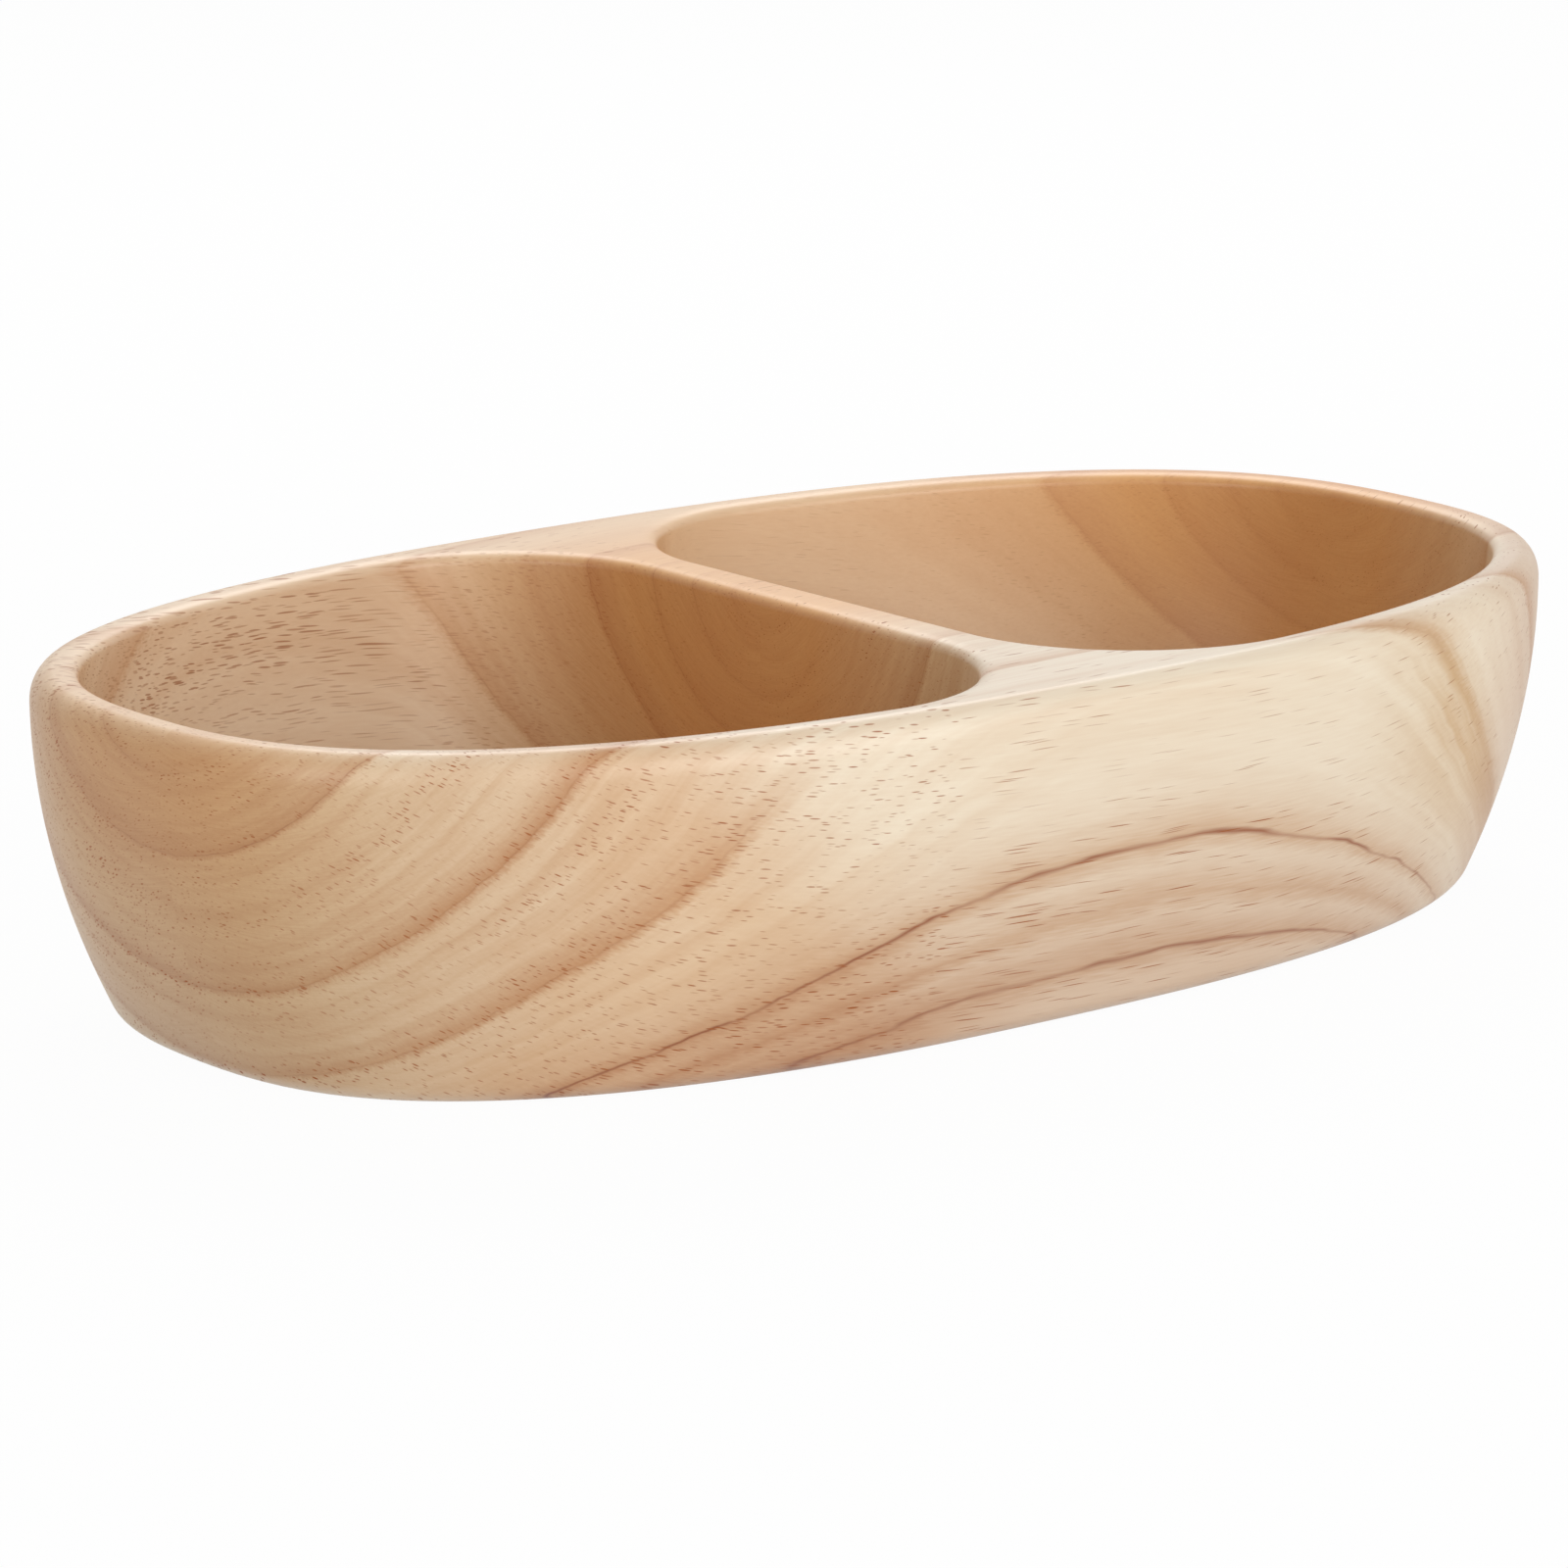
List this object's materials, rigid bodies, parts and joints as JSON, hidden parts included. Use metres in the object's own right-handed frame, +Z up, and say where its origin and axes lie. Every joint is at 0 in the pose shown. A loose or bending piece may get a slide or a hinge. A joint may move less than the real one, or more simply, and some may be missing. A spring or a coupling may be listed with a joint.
{
  "type": "divided serving bowl",
  "caption": "Oval serving bowl carved from solid timber, its walls drawn in to a flat foot, with a low soft rim and a straight dividing wall across the middle.",
  "frame": {"origin": "centre of the resting face under the bowl", "axes": "+X along the bowl's length, +Y along the dividing wall, +Z up out of the compartments"},
  "size_m": [0.3, 0.172, 0.063],
  "materials": {
    "lacquered_timber": "pale straw timber with brown growth lines and fine pores, sanded and sealed with a clear satin lacquer"
  },
  "bodies": {
    "root": {"bowl_body": "lacquered_timber"}
  },
  "joints": []
}
